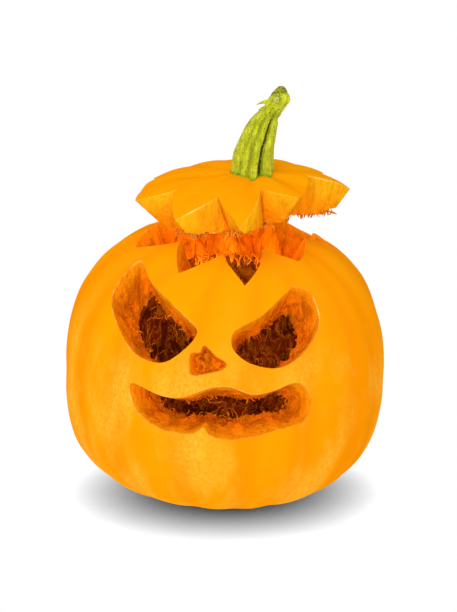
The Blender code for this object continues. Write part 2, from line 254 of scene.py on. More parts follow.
# Colours
ORANGE_GLOSS = (1.0, 0.62, 0.20, 1)
GREEN_GLOSS = (0.9, 1.0, 0.5, 1)
# Rind colours: warm is painted shade in the rib grooves, and random tone elsewhere.
RIND_LOOK = {"base": (0.930, 0.325, 0.0010, 1), "warm": (0.910, 0.262, 0.0008, 1),
             "pale": (0.935, 0.500, 0.045, 1), "pale_amount": 0.88}
LID_RIND_LOOK = {"base": (0.930, 0.340, 0.0010, 1), "warm": (0.920, 0.270, 0.0008, 1),
                 "pale": (0.930, 0.480, 0.030, 1), "pale_amount": 0.3}
# Flesh colours: deep and dark are painted shade deeper in the cut, deep also serves as random
# tone; the last entry sets how strong the dark painted shade is.
FLESH_LOOK = {"edge": (0.95, 0.62, 0.14, 1), "near": (1.0, 0.33, 0.003, 1),
              "deep": (1.0, 0.22, 0.002, 1), "dark": (0.34, 0.060, 0.001, 1),
              "reach": 0.018, "dark_shade_amount": 0.85}
LID_FLESH_LOOK = {"edge": (0.97, 0.66, 0.14, 1), "near": (0.97, 0.450, 0.006, 1),
                  "deep": (0.97, 0.270, 0.003, 1), "dark": (0.80, 0.16, 0.002, 1),
                  "reach": 0.028, "dark_shade_amount": 0.20}
# Pulp colours: base and pit are painted shade in the hollow, lit is painted light towards the rim.
PULP_LOOK = {"base": (0.34, 0.044, 0.003, 1), "thread": (0.88, 0.26, 0.006, 1),
             "pit": (0.12, 0.018, 0.001, 1), "lit": (0.97, 0.25, 0.005, 1)}
LID_PULP_LOOK = {"base": (0.70, 0.17, 0.004, 1), "thread": (0.88, 0.34, 0.012, 1),
                 "pit": (0.22, 0.035, 0.001, 1), "lit": (0.90, 0.34, 0.012, 1)}
# Painted light: the pulp is painted lighter between these heights, towards the rim.
PULP_LIT_FROM, PULP_LIT_TO = 0.130, 0.175    # heights between which the pulp gets lighter
STALK, STALK_LIGHT = (0.50, 0.54, 0.010, 1), (0.70, 0.74, 0.025, 1)
# Painted shade: the groove colours here and the pit colour below.
STALK_GROOVE, STALK_GROOVE_DEEP = (0.22, 0.26, 0.008, 1), (0.030, 0.032, 0.003, 1)
STALK_PIT, STALK_SPECK, STALK_FRECKLE = ((0.16, 0.18, 0.008, 1), (0.10, 0.10, 0.006, 1),
                                         (0.72, 0.72, 0.16, 1))
STALK_FOOT = (0.14, 0.32, 0.010, 1)
STALK_CUT, STALK_CUT_LIGHT = (0.06, 0.06, 0.004, 1), (0.38, 0.38, 0.02, 1)
SCAR_RINGS = (                 # radius from which a ring fades, where it is gone, strength, colour
    (0.0030, 0.0038, 0.60, (0.10, 0.11, 0.008, 1)),
    (0.0023, 0.0029, 0.90, (0.66, 0.70, 0.16, 1)),
    (0.0007, 0.0011, 0.90, (0.06, 0.07, 0.008, 1)),
)
# Painted shade: threads in the hollow are darker than the shreds at the openings.
INSIDE_THREADS = (0.62, 0.15, 0.005, 1), (0.30, 0.050, 0.002, 1)
SHREDS = (0.95, 0.27, 0.004, 1), (0.62, 0.10, 0.003, 1)
LID_THREADS = (0.85, 0.33, 0.012, 1), (0.60, 0.14, 0.005, 1)


# ---------------------------------------------------------------- shape of the fruit

def directions(sides, rises):
    """Unit vectors from the middle of the fruit."""
    sides, rises = np.radians(sides), np.radians(rises)
    return np.stack((np.sin(sides) * np.cos(rises), -np.cos(sides) * np.cos(rises),
                     np.sin(rises)), axis=-1)


def unit(vectors):
    return vectors / np.linalg.norm(vectors, axis=-1, keepdims=True)


def turned(points, axis, angles):
    """Points turned about an axis through the middle, each by its own angle."""
    cos = np.cos(angles)[:, None]
    sin = np.sin(angles)[:, None]
    along = np.outer(points @ axis, axis)
    return points * cos + np.cross(axis, points) * sin + along * (1 - cos)


STEM_WAY = directions(*STEM_END)
LEAN_AXIS = unit(np.cross((0.0, 0.0, 1.0), STEM_WAY))


def lean_angles(plain):
    """How far each vector of a plain sphere is turned towards the stem end."""
    top = (0.5 + 0.5 * plain[:, 2]) ** 2
    bottom = BLOSSOM_SHIFT * (0.5 - 0.5 * plain[:, 2]) ** 2
    return math.radians(90 - STEM_END[1]) * (top + bottom)


def lean(plain):
    """Move the poles of a plain sphere to the stem end and the blossom end."""
    return turned(plain, LEAN_AXIS, lean_angles(plain))


def unlean(ways):
    """The plain sphere's vectors that lean() takes to these ones."""
    plain = ways
    for _ in range(UNLEAN_ROUNDS):
        plain = turned(ways, LEAN_AXIS, -lean_angles(plain))
    return plain


def egg_radius(ways, half_width, above, below, round_above, round_below):
    """Distance to a rounded, squarish egg along unit vectors."""
    across = np.hypot(ways[:, 0], ways[:, 1])
    up = ways[:, 2] >= 0
    height = np.where(up, above, below)
    power = np.where(up, round_above, round_below)
    total = (across / half_width) ** power + (np.abs(ways[:, 2]) / height) ** power
    return total ** (-1 / power)


def bumps(points, size, seed):
    """Smooth uneven heights, about -1 to 1, in lumps as large as size."""
    shift = NOISE_SHIFT * seed
    return np.array([noise.noise(Vector(point) + shift) for point in points / size])


def ramp(value, start, width):
    """Share from 0 to 1 that a value has passed of the stretch after start."""
    return min(max((value - start) / width, 0.0), 1.0)


def bell(off, width):
    """Share from 1 where off is nothing down to 0 a few widths away."""
    return np.exp(-(off / width) ** 2)


def turn_and_fall(plain):
    """Degrees round the stem's axis and degrees down from the stem."""
    turn = np.degrees(np.arctan2(plain[:, 0], -plain[:, 1]))
    fall = np.degrees(np.arccos(np.clip(plain[:, 2], -1, 1)))
    return turn, fall


def folds(turn, places, width):
    """Share of full depth at turns round the stem, for folds at these places."""
    share = np.zeros(len(turn))
    for place in places:
        off = (turn - place + 180) % 360 - 180
        share += bell(off, width)
    return share


def rib_grooves(turn, fall):
    """How far the ribs' grooves go in, as a share of their depth."""
    return folds(turn, RIB_GROOVES, RIB_WIDTH) * np.sin(np.radians(fall)) ** RIB_FADE


def stem_creases(turn, fall):
    """Depth of the deep folds between the lobes that stand round the stem."""
    near = bell(fall - CREASE_FALL, CREASE_REACH)
    return CREASE_DEPTH * folds(turn, CREASES, CREASE_WIDTH) * near


def swell(ways, waves):
    """Slow rise and fall of a surface over unit vectors, between -1 and 1."""
    return (np.sin(waves[0] * ways[:, 0] + WAVE_START) * np.sin(waves[1] * ways[:, 1])
            * np.cos(waves[2] * ways[:, 2]))


def rind_radius(ways):
    """Distance to the rind along unit vectors, with ribs, dimple and lumps."""
    turn, fall = turn_and_fall(unlean(ways))
    upright = turned(ways, np.array((0.0, 1.0, 0.0)),
                     np.full(len(ways), -math.radians(LEAN_RIGHT)))
    radius = egg_radius(upright, HALF_WIDTH, HEIGHT_ABOVE, HEIGHT_BELOW,
                        ROUNDNESS_ABOVE, ROUNDNESS_BELOW)
    radius -= RIB_DEPTH * rib_grooves(turn, fall) + stem_creases(turn, fall)
    radius -= DIMPLE_DEPTH * bell(fall, DIMPLE_ANGLE)
    return radius + LUMP_HEIGHT * swell(ways, LUMP_WAVES)


def skin_points(plain):
    """Points of the rind for the points of a plain sphere."""
    ways = lean(plain)
    radius = rind_radius(ways)
    radius += DENT_HEIGHT * bumps(ways * radius[:, None], DENT_SIZE, 1)
    return ways * radius[:, None]


def cavity_radius(ways):
    """Distance to the wall of the hollow along unit vectors."""
    radius = egg_radius(ways, CAVITY_HALF_WIDTH, CAVITY_ABOVE, CAVITY_BELOW,
                        CAVITY_ROUNDNESS, CAVITY_ROUNDNESS)
    return radius + CAVITY_LUMP * swell(ways, CAVITY_WAVES)


def fibres(points, seed, width=FIBRE_WIDTH, length=FIBRE_LENGTH):
    """Heights of torn fibres that run mostly up and down, about -1 to 1."""
    drawn = points / np.array((width, width, length))
    drawn[:, 0] += FIBRE_SWAY * bumps(points, FIBRE_SWAY_SIZE, seed + 4)
    threads = 1 - 2 * np.abs(bumps(drawn, 1.0, seed)) ** FIBRE_POWER
    lumps = bumps(points, FIBRE_LUMP_SIZE, seed + 9)
    return FIBRE_SHARE * threads + (1 - FIBRE_SHARE) * lumps


def pulp_points(ways):
    """Points of the stringy wall of the hollow along unit vectors."""
    radius = cavity_radius(ways)
    points = ways * radius[:, None]
    return ways * (radius - PULP_RELIEF * (fibres(points, 2) - PULP_SINK))[:, None]


# ---------------------------------------------------------------- making meshes

def linked(name, data):
    """New object in the scene."""
    thing = bpy.data.objects.new(name, data)
    bpy.context.scene.collection.objects.link(thing)
    return thing


def keep(work, name, slot=RIND):
    """Turn a bmesh into an object, its faces pointing out and in one material slot."""
    bmesh.ops.recalc_face_normals(work, faces=work.faces)
    for face in work.faces:
        face.material_index = slot
    mesh = bpy.data.meshes.new(name)
    work.to_mesh(mesh)
    work.free()
    return linked(name, mesh)


def ball(name, turns, levels, place, slot=RIND):
    """Closed ball whose points are put in place by a function of their directions."""
    work = bmesh.new()
    bmesh.ops.create_uvsphere(work, u_segments=turns, v_segments=levels, radius=1.0)
    plain = unit(np.array([vert.co for vert in work.verts]))
    for vert, point in zip(work.verts, place(plain)):
        vert.co = point
    return keep(work, name, slot)


def loft(rings, ends):
    """Closed bmesh through rings of points, drawn together at a point at each end."""
    work = bmesh.new()
    count = len(rings[0])
    loop = bmesh.ops.create_circle(work, segments=count, radius=1.0)["verts"]
    for vert in loop:
        vert.co = ends[0]
    for ring in [*rings, [ends[1]] * count]:
        edges = list({edge for vert in loop for edge in vert.link_edges
                      if edge.is_boundary or edge.is_wire})
        grown = bmesh.ops.extrude_edge_only(work, edges=edges)
        fresh = {item for item in grown["geom"] if isinstance(item, bmesh.types.BMVert)}
        following = []
        for vert in loop:
            following.append(next(edge.other_vert(vert) for edge in vert.link_edges
                                  if edge.other_vert(vert) in fresh))
        for vert, point in zip(following, ring):
            vert.co = point
        loop = following
    bmesh.ops.remove_doubles(work, verts=work.verts, dist=1e-7)
    return work


def smooth_outline(points, steps):
    """Closed curve through the points, with a few steps from each to the next."""
    points = np.array(points, float)
    before, after, later = (np.roll(points, shift, axis=0) for shift in (1, -1, -2))
    outline = []
    for step in range(steps):
        t = step / steps
        outline.append(0.5 * (2 * points + (after - before) * t
                              + (2 * before - 5 * points + 4 * after - later) * t ** 2
                              + (3 * points - before - 3 * after + later) * t ** 3))
    return np.stack(outline, axis=1).reshape(-1, 2)


def wall_levels(depth):
    """Depths below the rind at which a cut wall gets a ring of points."""
    even = np.linspace(WALL_FROM, depth, round(depth / WALL_STEP))
    return -CUT_OUTSIDE, *WALL_EDGE, *even


def edge_wear(level):
    """How far a cut is widened at a level, so that the rind's edge is worn."""
    return CHAMFER * min(max((CHAMFER_DEPTH - level) / (2 * CHAMFER_DEPTH), 0.0), CHAMFER_MOST)


def tearing(points, level, seed):
    """How far the flesh is torn back or left standing at points of a wall inside."""
    shreds = 1 - SHRED_SHARPNESS * np.abs(bumps(points / SHRED_SIZE, 1.0, seed))
    lumps = bumps(points, TEAR_LUMP_SIZE, seed + 3)
    torn = TEAR_LUMPS * lumps - TEAR_SHREDS * shreds ** 3
    return TEAR_RELIEF * ramp(level, TEAR_FROM, TEAR_OVER) * torn


def face_cutter(name, points, depth, taper, drop, seed, floor_rings=0):
    """Solid that cuts one feature of the face, with torn, fibrous walls."""
    outline = smooth_outline(points, OUTLINE_STEPS)
    middle = outline.mean(axis=0)
    along = np.roll(outline, -1, axis=0) - np.roll(outline, 1, axis=0)
    outwards = unit(np.stack((along[:, 1], -along[:, 0]), axis=1))
    swept = np.cross(outline - middle, along).sum()
    outwards *= math.copysign(1.0, swept)
    rings = []

    def ring_at(level, shrink):
        share = ramp(level, 0.0, depth)
        flat = middle + (outline - middle) * (1 - np.array(taper) * share) * shrink
        flat = flat - (0, drop * share)
        ways = directions(flat[:, 0], flat[:, 1])
        wall = ways * (rind_radius(ways) - level)[:, None]
        torn = fibres(wall, seed)
        rough = WALL_RELIEF * (WALL_RELIEF_NEAR + (1 - WALL_RELIEF_NEAR)
                               * ramp(level, 0.0, WALL_RELIEF_OVER))
        push = edge_wear(level) + rough * torn
        if not floor_rings:
            push = push + tearing(wall, level, seed + 20)
        flat = flat + outwards * np.degrees(push / HALF_WIDTH)[:, None] * shrink
        ways = directions(flat[:, 0], flat[:, 1])
        return ways, rind_radius(ways) - level, torn

    for level in wall_levels(depth):
        ways, radius, _ = ring_at(level, 1.0)
        rings.append(ways * radius[:, None])
    for step in range(1, floor_rings):
        ways, radius, torn = ring_at(depth, 1 - step / floor_rings)
        lumps = np.abs(bumps(ways * radius[:, None], NOSE_FLOOR_LUMP_SIZE, seed + 7))
        radius = radius - NOSE_FLOOR_FIBRES * torn - NOSE_FLOOR_LUMPS * lumps + NOSE_FLOOR_RISE
        rings.append(ways * radius[:, None])
    ends = []
    for level, fallen in ((-CUT_OUTSIDE, 0.0), (depth, drop)):
        way = directions(middle[0], middle[1] - fallen)[None]
        ends.append(way[0] * (rind_radius(way)[0] - level))
    return keep(loft(rings, ends), name, FLESH)


def ring_knife():
    """Points on the rind round the zig-zag cut, and for each the knife's unit vector, whether
    it is the corner of a notch in the lid, and its share of wear."""
    axis = directions(*RING_AXIS)
    right = unit(np.array((1.0, 0.0, 0.0)) - axis * axis[0])
    back = np.cross(axis, right)
    ways, slopes, notches, wears = [], [], [], []
    for i, start in enumerate(RING_CORNERS):
        end = RING_CORNERS[(i + 1) % len(RING_CORNERS)]
        sweep = (end[0] - start[0]) % 360
        for t in (0.0, SLIT_WIDTH, *np.arange(1, RING_STEPS) / RING_STEPS, 1 - SLIT_WIDTH):
            turn = math.radians(start[0] + sweep * t)
            fall = math.radians(start[1] + (end[1] - start[1]) * t)
            across = right * math.sin(turn) - back * math.cos(turn)
            ways.append(axis * math.cos(fall) + across * math.sin(fall))
            extra = KNIFE_EXTRA * max(0.0, math.cos(turn - math.radians(KNIFE_EXTRA_TURN))) ** 2
            slopes.append(KNIFE_INWARD[i % 2] * (1 - t) + KNIFE_INWARD[1 - i % 2] * t + extra)
            notches.append(float(i % 2 == 1 and t == 0))
            wears.append(1.0 if SLIT_WIDTH < t < 1 - SLIT_WIDTH else CORNER_WEAR)
    ways = np.array(ways)
    points = ways * rind_radius(ways)[:, None]
    off_axis = points - np.outer(points @ axis, axis)
    off_axis[:, 2] = 0
    knife = -unit(off_axis) * np.array(slopes)[:, None] + (KNIFE_SIDEWAYS, 0, -1)
    return points, unit(knife), np.array(notches), np.array(wears)


def lid_cutter(name, seed, wear):
    """Plug with zig-zag sides that parts the lid from the shell.

    Its edge is worn wider for the shell, with a wear of 1, or narrower for the lid, with -1.
    """
    points, knife, notches, wears = ring_knife()
    along = unit(np.roll(points, -1, axis=0) - np.roll(points, 1, axis=0))
    outwards = unit(np.cross(knife, along))
    outwards *= np.sign((outwards * points).sum(axis=1))[:, None]
    rings = []
    for level in (-KNIFE_ABOVE, *KNIFE_LEVELS_ABOVE, *wall_levels(KNIFE_BELOW)[3:]):
        ring = points + knife * level
        rough = RIM_RELIEF * (RIM_RELIEF_NEAR + (1 - RIM_RELIEF_NEAR)
                              * ramp(level, RIM_RELIEF_FROM, RIM_RELIEF_OVER))
        push = wears * (wear * edge_wear(level) + rough * fibres(ring, seed))
        if wear < 0:
            push = push - notches * SLIT_DEPTH * ramp(level, 0.0, SLIT_FADE)
        rings.append(ring + outwards * np.reshape(push, (-1, 1)))
    axis = directions(*RING_AXIS)
    return keep(loft(rings, (axis * PLUG_TOP, axis * PLUG_BOTTOM)), name, FLESH)


def block_below(name, level, relief, slot, segments):
    """Block that takes away all that lies below a level, with a torn or a flat top."""
    work = bmesh.new()
    bmesh.ops.create_grid(work, x_segments=segments, y_segments=segments,
                          size=1.4 * HALF_WIDTH)
    flat = np.array([vert.co for vert in work.verts])
    heights = level + relief * (fibres(flat * (1, 0.5, 1), 5, *UNDERSIDE_FIBRES)
                                + bumps(flat, UNDERSIDE_LUMP_SIZE, 6))
    for vert, height in zip(work.verts, heights):
        vert.co.z = height
    made = bmesh.ops.extrude_face_region(work, geom=list(work.faces))
    below = [item for item in made["geom"] if isinstance(item, bmesh.types.BMVert)]
    for vert in below:
        vert.co.z = level - 2 * HALF_WIDTH
    return keep(work, name, slot)


def made_mesh(thing):
    """Mesh of an object with its modifiers or its thickness worked in."""
    bpy.context.view_layer.update()
    ready = thing.evaluated_get(bpy.context.evaluated_depsgraph_get())
    return bpy.data.meshes.new_from_object(ready)


def carve(body, *cutters, others=None):
    """Take the cutters from the body, unless others names another operation for one."""
    for cutter in cutters:
        cut = body.modifiers.new(cutter.name, "BOOLEAN")
        cut.object = cutter
        cut.operation = (others or {}).get(cutter.name, "DIFFERENCE")
        cut.solver = "EXACT"
        cut.material_mode = "INDEX"
    mesh = made_mesh(body)
    mesh.name = body.name
    body.modifiers.clear()
    body.data = mesh
    for cutter in cutters:
        bpy.data.objects.remove(cutter)
    return body


def note_surface(mesh):
    """Write how deep each point lies under the rind, and its place on the ribs."""
    count = len(mesh.vertices)
    points = np.empty(count * 3)
    mesh.vertices.foreach_get("co", points)
    points = points.reshape(-1, 3)
    radius = np.linalg.norm(points, axis=1)
    ways = points / radius[:, None]
    turn, fall = turn_and_fall(unlean(ways))
    grain = np.stack((np.sin(np.radians(turn)), np.cos(np.radians(turn)),
                      np.radians(fall)), axis=1)
    for name, kind, field, values in (
            ("depth", "FLOAT", "value", rind_radius(ways) - radius),
            ("rib", "FLOAT", "value", rib_grooves(turn, fall)),
            ("grain", "FLOAT_VECTOR", "vector", grain.ravel())):
        mesh.attributes.new(name, kind, "POINT").data.foreach_set(field, values)


def settle(thing, place):
    """Shade smoothly between sharp cut edges, and put the mesh in its place."""
    work = bmesh.new()
    work.from_mesh(thing.data)
    for face in work.faces:
        face.smooth = True
    for edge in work.edges:
        slots = {face.material_index for face in edge.link_faces}
        edge.smooth = len(slots) == 1
    work.to_mesh(thing.data)
    work.free()
    thing.data.transform(place)
    return thing


# ---------------------------------------------------------------- materials

def node(tree, kind, inputs=None, **settings):
    """New node with its settings, its input values and its links."""
    made = tree.nodes.new(kind)
    for name, value in settings.items():
        setattr(made, name, value)
    for socket, value in (inputs or {}).items():
        if isinstance(value, bpy.types.NodeSocket):
            tree.links.new(value, made.inputs[socket])
        else:
            made.inputs[socket].default_value = value
    return made


def mixed(tree, share, first, second, mode="MIX"):
    """Colour between two others."""
    made = node(tree, "ShaderNodeMix", {0: share, 6: first, 7: second},
                data_type="RGBA", blend_type=mode)
    return made.outputs[2]


def between(tree, value, low, high, to_low=0.0, to_high=1.0):
    """Value spread from one range to another, held at its ends."""
    made = node(tree, "ShaderNodeMapRange", {0: value, 1: low, 2: high, 3: to_low, 4: to_high},
                interpolation_type="SMOOTHSTEP")
    return made.outputs[0]


def sums(tree, operation, first, second):
    """Sum, difference, product or other operation on two values."""
    return node(tree, "ShaderNodeMath", {0: first, 1: second}, operation=operation).outputs[0]


def times(tree, first, second):
    return sums(tree, "MULTIPLY", first, second)


def attribute(tree, name, output="Fac"):
    """Value or vector that the mesh carries."""
    return node(tree, "ShaderNodeAttribute", attribute_name=name).outputs[output]


def stretched(tree, vector, scale):
    """Vector scaled by its own amount along each axis."""
    return node(tree, "ShaderNodeMapping", {"Vector": vector, "Scale": scale}).outputs[0]


def cloud(tree, vector, scale, detail=3.0, roughness=0.55, distortion=0.0):
    """Soft noise from 0 to 1."""
    made = node(tree, "ShaderNodeTexNoise",
                {"Vector": vector, "Scale": scale, "Detail": detail, "Roughness": roughness,
                 "Distortion": distortion})
    return made.outputs["Fac"]


def new_group(name, inputs, outputs):
    """Empty node group with named inputs and outputs."""
    group = bpy.data.node_groups.new(name, "ShaderNodeTree")
    for label, kind, value in inputs:
        socket = group.interface.new_socket(label, in_out="INPUT", socket_type=kind)
        if value is not None:
            socket.default_value = value
    for label, kind in outputs:
        group.interface.new_socket(label, in_out="OUTPUT", socket_type=kind)
    return group, node(group, "NodeGroupInput").outputs, node(group, "NodeGroupOutput")


def fibre_group():
    """Threads drawn out along one direction: a mask of threads, pits and a height."""
    group, given, made = new_group(
        "drawn_fibres",
        (("Vector", "NodeSocketVector", None), ("Stretch", "NodeSocketVector", (1, 1, 1)),
         ("Scale", "NodeSocketFloat", 100.0)),
        (("Threads", "NodeSocketFloat"), ("Pits", "NodeSocketFloat"),
         ("Height", "NodeSocketFloat")))
    drawn = stretched(group, given["Vector"], given["Stretch"])
    coarse = cloud(group, drawn, given["Scale"], 5.0, 0.62, 0.9)
    fine = cloud(group, drawn, times(group, given["Scale"], 3.1), 4.0, 0.6, 0.5)
    off = sums(group, "ABSOLUTE", sums(group, "SUBTRACT", coarse, 0.5), 0.0)
    threads = between(group, off, 0.0, 0.055, 1.0, 0.0)
    pits = between(group, coarse, 0.34, 0.46, 1.0, 0.0)
    height = sums(group, "ADD", times(group, threads, 0.5), fine)
    height = sums(group, "SUBTRACT", height, times(group, pits, 0.5))
    for label, value in (("Threads", threads), ("Pits", pits), ("Height", height)):
        group.links.new(value, made.inputs[label])
    return group


def blotch_group():
    """Uneven patches with soft edges."""
    group, given, made = new_group(
        "soft_blotches",
        (("Vector", "NodeSocketVector", None), ("Scale", "NodeSocketFloat", 20.0),
         ("Amount", "NodeSocketFloat", 0.5)),
        (("Mask", "NodeSocketFloat"),))
    patch = cloud(group, given["Vector"], given["Scale"], 4.0, 0.6, 0.3)
    low = sums(group, "SUBTRACT", 0.75, times(group, given["Amount"], 0.5))
    high = sums(group, "ADD", low, 0.12)
    group.links.new(between(group, patch, low, high), made.inputs["Mask"])
    return group


DRAWN_FIBRES = fibre_group()
SOFT_BLOTCHES = blotch_group()


def fibre_node(tree, vector, stretch, scale):
    inputs = {"Vector": vector, "Stretch": stretch, "Scale": scale}
    return node(tree, "ShaderNodeGroup", inputs, node_tree=DRAWN_FIBRES).outputs


def blotch_node(tree, vector, scale, amount):
    inputs = {"Vector": vector, "Scale": scale, "Amount": amount}
    return node(tree, "ShaderNodeGroup", inputs, node_tree=SOFT_BLOTCHES).outputs["Mask"]


def blank(name, specular, tint):
    """Material with a plain shader: its tree, its shader and the object's own coordinates."""
    material = bpy.data.materials.new(name)
    material.use_nodes = True
    tree = material.node_tree
    shader = tree.nodes["Principled BSDF"]
    shader.inputs["Specular IOR Level"].default_value = specular
    shader.inputs["Specular Tint"].default_value = tint
    here = node(tree, "ShaderNodeTexCoord").outputs["Object"]
    return material, tree, shader, here


def dress(tree, shader, colour, roughness, height, distance):
    """Join colour, roughness and bump to the shader."""
    tree.links.new(colour, shader.inputs["Base Color"])
    tree.links.new(roughness, shader.inputs["Roughness"])
    bump = node(tree, "ShaderNodeBump", {"Height": height, "Strength": 1.0,
                                         "Distance": distance})
    tree.links.new(bump.outputs[0], shader.inputs["Normal"])


def rind_finish(name, base, warm, pale, pale_amount):
    """Satin rind: rib grooves painted warmer and darker as shade, mottled pale patches down the
    ribs, fine pores.
    """
    material, tree, shader, here = blank(name, 0.0, ORANGE_GLOSS)
    grain = attribute(tree, "grain", "Vector")
    brushed = cloud(tree, stretched(tree, grain, (1.0, 1.0, 0.30)), 30.0, 5.0, 0.65, 0.4)
    mottle = cloud(tree, stretched(tree, grain, (1.0, 1.0, 0.70)), 55.0, 8.0, 0.78, 0.3)
    patches = between(tree, cloud(tree, stretched(tree, grain, (1.0, 1.0, 0.45)), 3.4, 3.0),
                      0.42, 0.66)
    low_part = between(tree, node(tree, "ShaderNodeSeparateXYZ", {0: grain}).outputs[2],
                       0.95, 1.40, 0.10, 1.0)
    # Painted shade: the rib grooves take the darker warm colour.
    groove = between(tree, attribute(tree, "rib"), 0.35, 1.0, 0.0, 0.75)
    colour = mixed(tree, groove, base, warm)
    tone = between(tree, cloud(tree, here, 14.0, 3.0), 0.3, 0.7, 0.0, 0.5)
    colour = mixed(tree, tone, colour, warm)
    pale_share = times(tree, between(tree, mottle, 0.30, 0.72), patches)
    pale_share = times(tree, pale_share, low_part)
    pale_share = times(tree, pale_share, pale_amount)
    colour = mixed(tree, pale_share, colour, pale)
    roughness = between(tree, brushed, 0.3, 0.7, 0.40, 0.55)
    pores = cloud(tree, here, 900.0, 2.0)
    height = sums(tree, "ADD", times(tree, pores, 0.25), brushed)
    dress(tree, shader, colour, roughness, height, 0.00018)
    return material


def flesh_finish(name, edge, near, deep, dark, reach, dark_shade_amount):
    """Cut flesh: a thin pale line here and there under the rind, then fibres inwards, painted
    redder and darker deeper in the cut as shade.
    """
    material, tree, shader, here = blank(name, 0.0, ORANGE_GLOSS)
    threads = fibre_node(tree, here, (1.0, 1.0, 0.22), 120.0)
    patches = blotch_node(tree, here, 90.0, 0.45)
    depth = attribute(tree, "depth")
    uneven = times(tree, sums(tree, "SUBTRACT", cloud(tree, here, 120.0), 0.5), 0.012)
    uneven = sums(tree, "ADD", depth, uneven)
    # Painted shade: the colour turns redder deeper in the cut.
    colour = mixed(tree, between(tree, uneven, 0.001, reach), near, deep)
    broad = between(tree, cloud(tree, here, 24.0, 2.0), 0.44, 0.60, 0.0, 0.40)
    colour = mixed(tree, broad, colour, deep)
    colour = mixed(tree, times(tree, patches, 0.50), colour, deep)
    # Painted shade: dark patches that grow stronger deeper in the cut.
    deep_shade_patches = blotch_node(tree, stretched(tree, here, (1.0, 1.0, 0.45)), 75.0, 0.60)
    deep_shade_patches = times(tree, deep_shade_patches, between(tree, uneven, 0.003, 0.5 * reach, 0.15, 1.0))
    colour = mixed(tree, times(tree, deep_shade_patches, 0.65 * dark_shade_amount), colour, dark)
    # Painted shade in the fibres' pits, stronger deeper in the cut.
    inner = between(tree, uneven, 0.35 * reach, 1.1 * reach, 0.25 * dark_shade_amount, dark_shade_amount)
    colour = mixed(tree, times(tree, threads["Pits"], inner), colour, dark)
    lights = times(tree, threads["Threads"], 0.35)
    colour = mixed(tree, lights, colour, near)
    rim = between(tree, depth, 0.0004, 0.0013, 0.80, 0.0)
    pale = sums(tree, "ADD", blotch_node(tree, here, 30.0, 0.50), 0.15)
    colour = mixed(tree, times(tree, rim, pale), colour, edge)
    roughness = between(tree, threads["Height"], 0.2, 1.0, 0.40, 0.62)
    dress(tree, shader, colour, roughness, threads["Height"], 0.0007)
    return material


def pulp_finish(name, base, thread, pit, lit):
    """Stringy pulp on the inside, painted dark as shade in the hollow and its pits, and painted
    lighter towards the rim as light.
    """
    material, tree, shader, here = blank(name, 0.04, ORANGE_GLOSS)
    threads = fibre_node(tree, here, (1.0, 1.0, 0.35), 110.0)
    patches = blotch_node(tree, here, 45.0, 0.55)
    # Painted shade: the dark base colour, darker patches and darker pits.
    colour = mixed(tree, patches, base, pit)
    colour = mixed(tree, times(tree, threads["Pits"], 0.8), colour, pit)
    colour = mixed(tree, times(tree, threads["Threads"], 0.75), colour, thread)
    # Painted light: lighter higher up, towards the rim.
    height = node(tree, "ShaderNodeSeparateXYZ", {0: here}).outputs[2]
    top = between(tree, height, PULP_LIT_FROM, PULP_LIT_TO, 0.0, 0.8)
    bright = mixed(tree, threads["Pits"], lit, base)
    colour = mixed(tree, top, colour, mixed(tree, threads["Threads"], bright, thread))
    roughness = between(tree, threads["Height"], 0.2, 1.0, 0.35, 0.60)
    dress(tree, shader, colour, roughness, threads["Height"], 0.0011)
    return material


def stem_finish():
    """Ridged green stalk: painted dark in its grooves and pits as shade, freckled, with a dark
    ragged cut end.
    """
    material, tree, shader, here = blank("stem_stalk", 0.20, GREEN_GLOSS)
    groove = attribute(tree, "groove")
    along = attribute(tree, "along")
    threads = fibre_node(tree, here, (1.0, 1.0, 0.18), 420.0)
    mottle = between(tree, cloud(tree, here, 150.0, 4.0), 0.35, 0.65)
    colour = mixed(tree, mottle, STALK, STALK_LIGHT)
    # Painted shade in the grooves and the pits.
    colour = mixed(tree, between(tree, groove, 0.12, 0.50, 0.0, 0.60), colour, STALK_GROOVE)
    colour = mixed(tree, between(tree, groove, 0.55, 0.85), colour, STALK_GROOVE_DEEP)
    colour = mixed(tree, times(tree, threads["Pits"], 0.45), colour, STALK_PIT)
    freckles = between(tree, cloud(tree, here, 1100.0, 1.0), 0.62, 0.70, 0.0, 0.55)
    colour = mixed(tree, freckles, colour, STALK_FRECKLE)
    specks = between(tree, cloud(tree, here, 800.0, 1.0), 0.30, 0.38, 0.60, 0.0)
    colour = mixed(tree, specks, colour, STALK_SPECK)
    foot = between(tree, attribute(tree, "above"), 0.0008, 0.0030, 0.6, 0.0)
    colour = mixed(tree, foot, colour, STALK_FOOT)
    ragged = between(tree, cloud(tree, here, 500.0), 0.4, 0.6)
    cut = between(tree, along, 0.88, 0.94, 0.0, 0.85)
    colour = mixed(tree, cut, colour, mixed(tree, ragged, STALK_CUT, STALK_CUT_LIGHT))
    for full, gone, strength, ring_colour in SCAR_RINGS:
        ring = between(tree, attribute(tree, "scar"), full, gone, strength, 0.0)
        colour = mixed(tree, ring, colour, ring_colour)
    roughness = between(tree, threads["Height"], 0.2, 1.0, 0.45, 0.70)
    dress(tree, shader, colour, roughness, threads["Height"], 0.0005)
    return material


def thread_finish(name, first, second):
    """Wet pulp threads, uneven from thread to thread."""
    material, tree, shader, here = blank(name, 0.10, ORANGE_GLOSS)
    tone = between(tree, cloud(tree, here, 160.0, 3.0), 0.35, 0.65)
    grit = cloud(tree, here, 900.0, 3.0)
    dress(tree, shader, mixed(tree, tone, first, second),
          between(tree, grit, 0.3, 0.7, 0.30, 0.55), grit, 0.0003)
    return material


# ---------------------------------------------------------------- pieces

